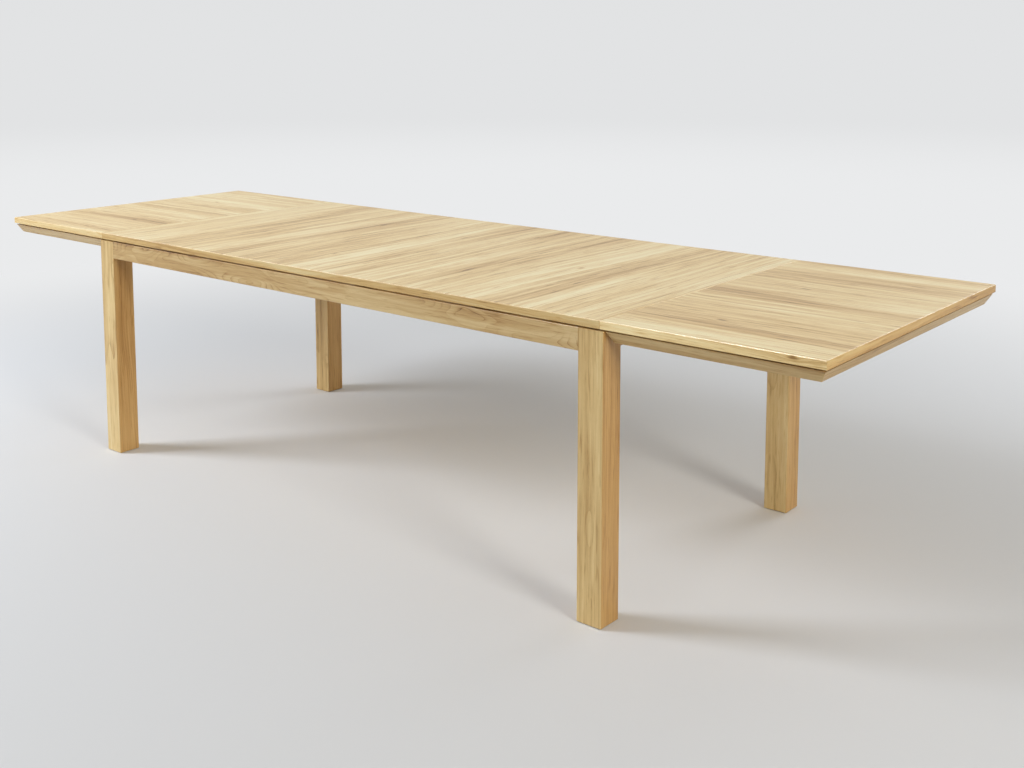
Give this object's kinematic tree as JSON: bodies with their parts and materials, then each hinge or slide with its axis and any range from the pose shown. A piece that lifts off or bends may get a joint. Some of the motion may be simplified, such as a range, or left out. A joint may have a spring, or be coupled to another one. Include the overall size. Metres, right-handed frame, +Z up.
{
  "type": "extending dining table",
  "caption": "Rectangular oak dining table on square legs, with an end leaf at each side that slides out on bearers and carries a bevelled under-frame.",
  "frame": {"origin": "on the floor, below the middle of the table", "axes": "+X along the table towards the right leaf, +Y from the front long side to the rear one, +Z up"},
  "size_m": [3.1276, 1.002, 0.74],
  "materials": {
    "oak_top": "satin",
    "oak_leaf": "satin",
    "oak_moulding": "satin",
    "oak_leg": "satin",
    "oak_apron": "satin",
    "oak_frame": "matt",
    "beech_dowel": "matt",
    "zinc_steel": "zinc plated",
    "nylon_glide": "matt"
  },
  "bodies": {
    "table": {"apron_dowels": "beech_dowel", "apron_front": "oak_apron", "apron_rear": "oak_apron", "bolt_nuts": "zinc_steel", "bolt_washers": "zinc_steel", "cleat_screws": "zinc_steel", "corner_block_front_left": "oak_frame", "corner_block_front_right": "oak_frame", "corner_block_rear_left": "oak_frame", "corner_block_rear_right": "oak_frame", "cross_rail_1": "oak_frame", "cross_rail_2": "oak_frame", "cross_rail_3": "oak_frame", "cross_rail_4": "oak_frame", "end_apron_left": "oak_apron", "end_apron_right": "oak_apron", "end_cleat_left": "oak_frame", "end_cleat_right": "oak_frame", "floor_glides": "nylon_glide", "hanger_bolts": "zinc_steel", "leg_front_left": "oak_leg", "leg_front_right": "oak_leg", "leg_rear_left": "oak_leg", "leg_rear_right": "oak_leg", "main_top": "oak_top", "rail_dowels": "beech_dowel", "runner_left_front_inner": "oak_frame", "runner_left_front_outer": "oak_frame", "runner_left_rear_inner": "oak_frame", "runner_left_rear_outer": "oak_frame", "runner_right_front_inner": "oak_frame", "runner_right_front_outer": "oak_frame", "runner_right_rear_inner": "oak_frame", "runner_right_rear_outer": "oak_frame", "runner_screws": "zinc_steel", "top_screws": "zinc_steel"},
    "left_leaf": {"bearer_left_front": "oak_frame", "bearer_left_rear": "oak_frame", "bearer_screws_left": "zinc_steel", "leaf_batten_left": "oak_frame", "leaf_dowels_left": "beech_dowel", "leaf_moulding_left_front": "oak_moulding", "leaf_moulding_left_inner": "oak_moulding", "leaf_moulding_left_outer": "oak_moulding", "leaf_moulding_left_rear": "oak_moulding", "leaf_packers_left": "oak_frame", "leaf_panel_left": "oak_leaf", "leaf_screws_left": "zinc_steel"},
    "right_leaf": {"bearer_right_front": "oak_frame", "bearer_right_rear": "oak_frame", "bearer_screws_right": "zinc_steel", "leaf_batten_right": "oak_frame", "leaf_dowels_right": "beech_dowel", "leaf_moulding_right_front": "oak_moulding", "leaf_moulding_right_inner": "oak_moulding", "leaf_moulding_right_outer": "oak_moulding", "leaf_moulding_right_rear": "oak_moulding", "leaf_packers_right": "oak_frame", "leaf_panel_right": "oak_leaf", "leaf_screws_right": "zinc_steel"}
  },
  "joints": [
    {"name": "left_leaf_slide", "type": "slide", "parent": "table", "child": "left_leaf", "axis": [-1, 0, 0], "range_m": [0, 0.3]},
    {"name": "right_leaf_slide", "type": "slide", "parent": "table", "child": "right_leaf", "axis": [1, 0, 0], "range_m": [0, 0.3]}
  ]
}
